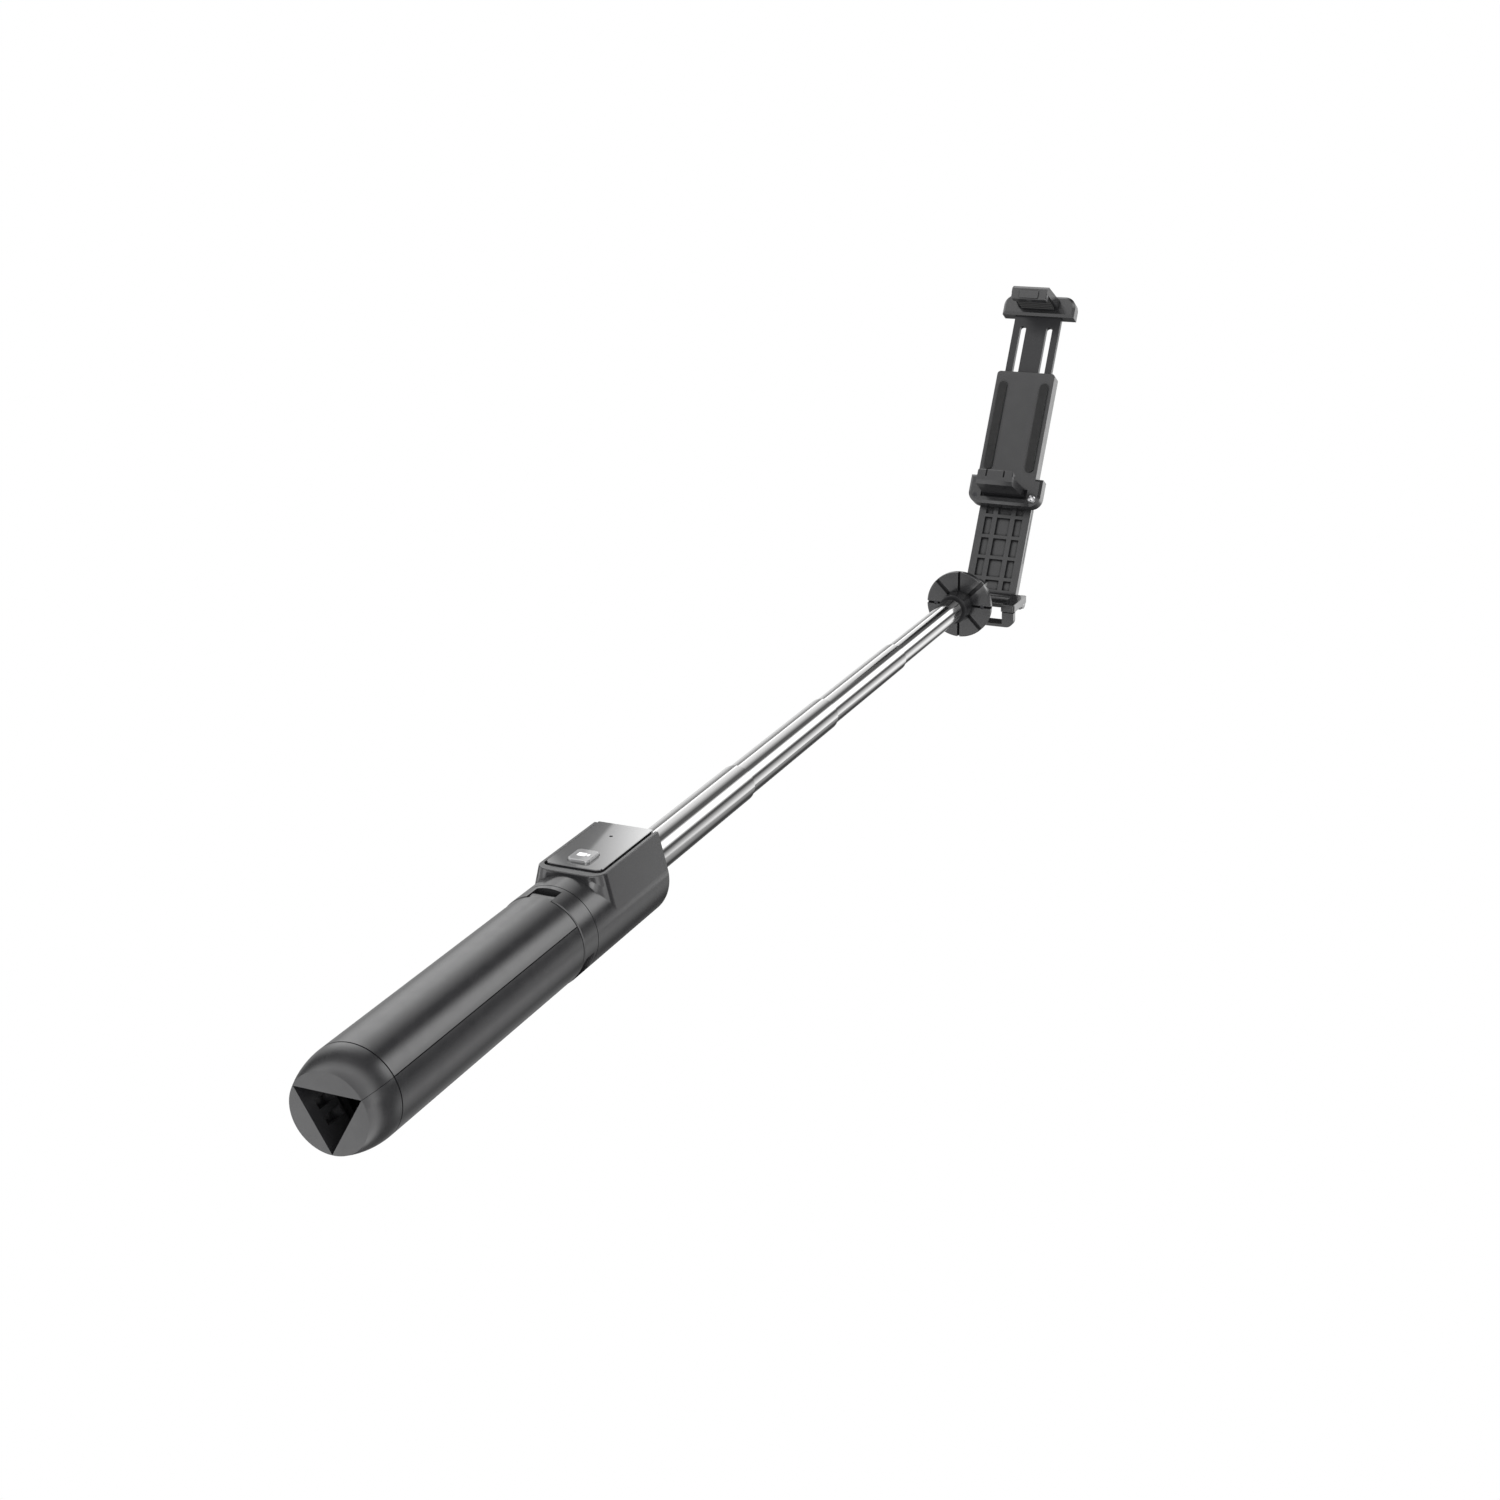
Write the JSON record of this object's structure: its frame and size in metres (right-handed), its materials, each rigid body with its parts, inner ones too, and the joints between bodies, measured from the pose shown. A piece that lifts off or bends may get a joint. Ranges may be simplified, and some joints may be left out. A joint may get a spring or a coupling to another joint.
{
  "type": "tripod selfie stick",
  "caption": "Telescopic selfie stick whose handle opens into tripod legs, with a docked shutter remote and a tilting, swivelling phone clamp.",
  "frame": {"origin": "on the stick's axis at the middle of the grip", "axes": "+Y along the stick towards the phone clamp, +Z the side the remote faces (up in the hand), +X across the clamp"},
  "size_m": [0.035, 0.5792, 0.1335],
  "materials": {
    "satin_black": "satin",
    "foot_plastic": "satin",
    "dark_nylon": "matte",
    "steel": "satin",
    "dark_screw": "blackened",
    "dark_plate": "satin",
    "rubber": "matte",
    "gloss_black": "gloss",
    "gloss_button": "gloss",
    "circuit_board": "solder mask",
    "led_lens": "clear",
    "polished_tube": "polished"
  },
  "bodies": {
    "handle": {"housing_body": "satin_black", "leg_collar": "satin_black", "tube_guide_bush": "dark_nylon", "leg_pin_a": "steel", "leg_pin_b": "steel", "leg_pin_c": "steel", "collar_screw_a": "steel", "collar_screw_b": "steel", "collar_screw_c": "steel"},
    "leg_a": {"leg_shell_a": "satin_black", "foot_cap_a": "foot_plastic"},
    "leg_b": {"leg_shell_b": "satin_black", "foot_cap_b": "foot_plastic"},
    "leg_c": {"leg_shell_c": "satin_black", "foot_cap_c": "foot_plastic"},
    "tube_1": {"tube_section_1": "polished_tube", "slide_bush_1": "dark_nylon"},
    "tube_2": {"tube_section_2": "polished_tube", "slide_bush_2": "dark_nylon"},
    "tube_3": {"tube_section_3": "polished_tube", "slide_bush_3": "dark_nylon"},
    "tube_4": {"tube_section_4": "polished_tube", "slide_bush_4": "dark_nylon", "end_disc": "satin_black", "disc_rivet_left": "dark_screw", "disc_rivet_right": "dark_screw"},
    "head": {"head_yoke": "satin_black", "tilt_pin": "steel"},
    "tilt_lever": {"tilt_lever": "satin_black"},
    "arm": {"arm_plate": "satin_black", "swivel_pin": "steel"},
    "clamp": {"clamp_base": "satin_black", "clamp_screw_left": "dark_screw", "clamp_screw_right": "steel", "back_pad_left": "rubber", "back_pad_right": "rubber", "lower_jaw_pad": "rubber"},
    "jaw": {"upper_jaw": "satin_black", "upper_jaw_pad": "rubber", "jaw_slide": "dark_plate"},
    "remote": {"remote_shell": "satin_black", "remote_fascia": "gloss_black", "remote_pcb": "circuit_board", "tact_switch": "dark_nylon", "remote_led": "led_lens", "coin_cell": "steel"},
    "button": {"remote_button": "gloss_button"}
  },
  "joints": [
    {"name": "leg_a_hinge", "type": "hinge", "parent": "handle", "child": "leg_a", "pos_m": [0, 0.05112, 0.0114], "axis": [-1, 0, 0], "range_deg": [0, 62]},
    {"name": "leg_b_hinge", "type": "hinge", "parent": "handle", "child": "leg_b", "pos_m": [0.00987, 0.05112, -0.0057], "axis": [0.5, 0, 0.866], "range_deg": [0, 62]},
    {"name": "leg_c_hinge", "type": "hinge", "parent": "handle", "child": "leg_c", "pos_m": [-0.00987, 0.05112, -0.0057], "axis": [0.5, 0, -0.866], "range_deg": [0, 62]},
    {"name": "tube_1_slide", "type": "slide", "parent": "handle", "child": "tube_1", "axis": [0, 1, 0], "range_m": [-0.0788, 0]},
    {"name": "tube_2_slide", "type": "slide", "parent": "tube_1", "child": "tube_2", "axis": [0, 1, 0], "range_m": [-0.0743, 0]},
    {"name": "tube_3_slide", "type": "slide", "parent": "tube_2", "child": "tube_3", "axis": [0, 1, 0], "range_m": [-0.0707, 0]},
    {"name": "tube_4_slide", "type": "slide", "parent": "tube_3", "child": "tube_4", "axis": [0, 1, 0], "range_m": [-0.069, 0]},
    {"name": "head_pan", "type": "hinge", "parent": "tube_4", "child": "head", "pos_m": [0, 0.41273, 0], "axis": [0, 1, 0], "continuous": true},
    {"name": "arm_tilt", "type": "hinge", "parent": "head", "child": "arm", "pos_m": [0, 0.44972, -0.0085], "axis": [1, 0, 0], "range_deg": [-110, 55]},
    {"name": "tilt_lever_turn", "type": "hinge", "parent": "head", "child": "tilt_lever", "pos_m": [0.0155, 0.44972, -0.0085], "axis": [-1, 0, 0], "range_deg": [0, 70]},
    {"name": "clamp_swivel", "type": "hinge", "parent": "arm", "child": "clamp", "pos_m": [0, 0.49569, 0.06872], "axis": [0, -0.859, 0.512], "continuous": true},
    {"name": "jaw_slide_out", "type": "slide", "parent": "clamp", "child": "jaw", "axis": [0, 0.512, 0.859], "range_m": [-0.024, 0.01]},
    {"name": "remote_slide", "type": "slide", "parent": "handle", "child": "remote", "axis": [0, 1, 0], "range_m": [0, 0.045]},
    {"name": "button_press", "type": "slide", "parent": "remote", "child": "button", "axis": [0, 0, -1], "range_m": [0, 0.0003], "stiffness_N_per_m": 1500, "springref_m": -0.0004}
  ]
}
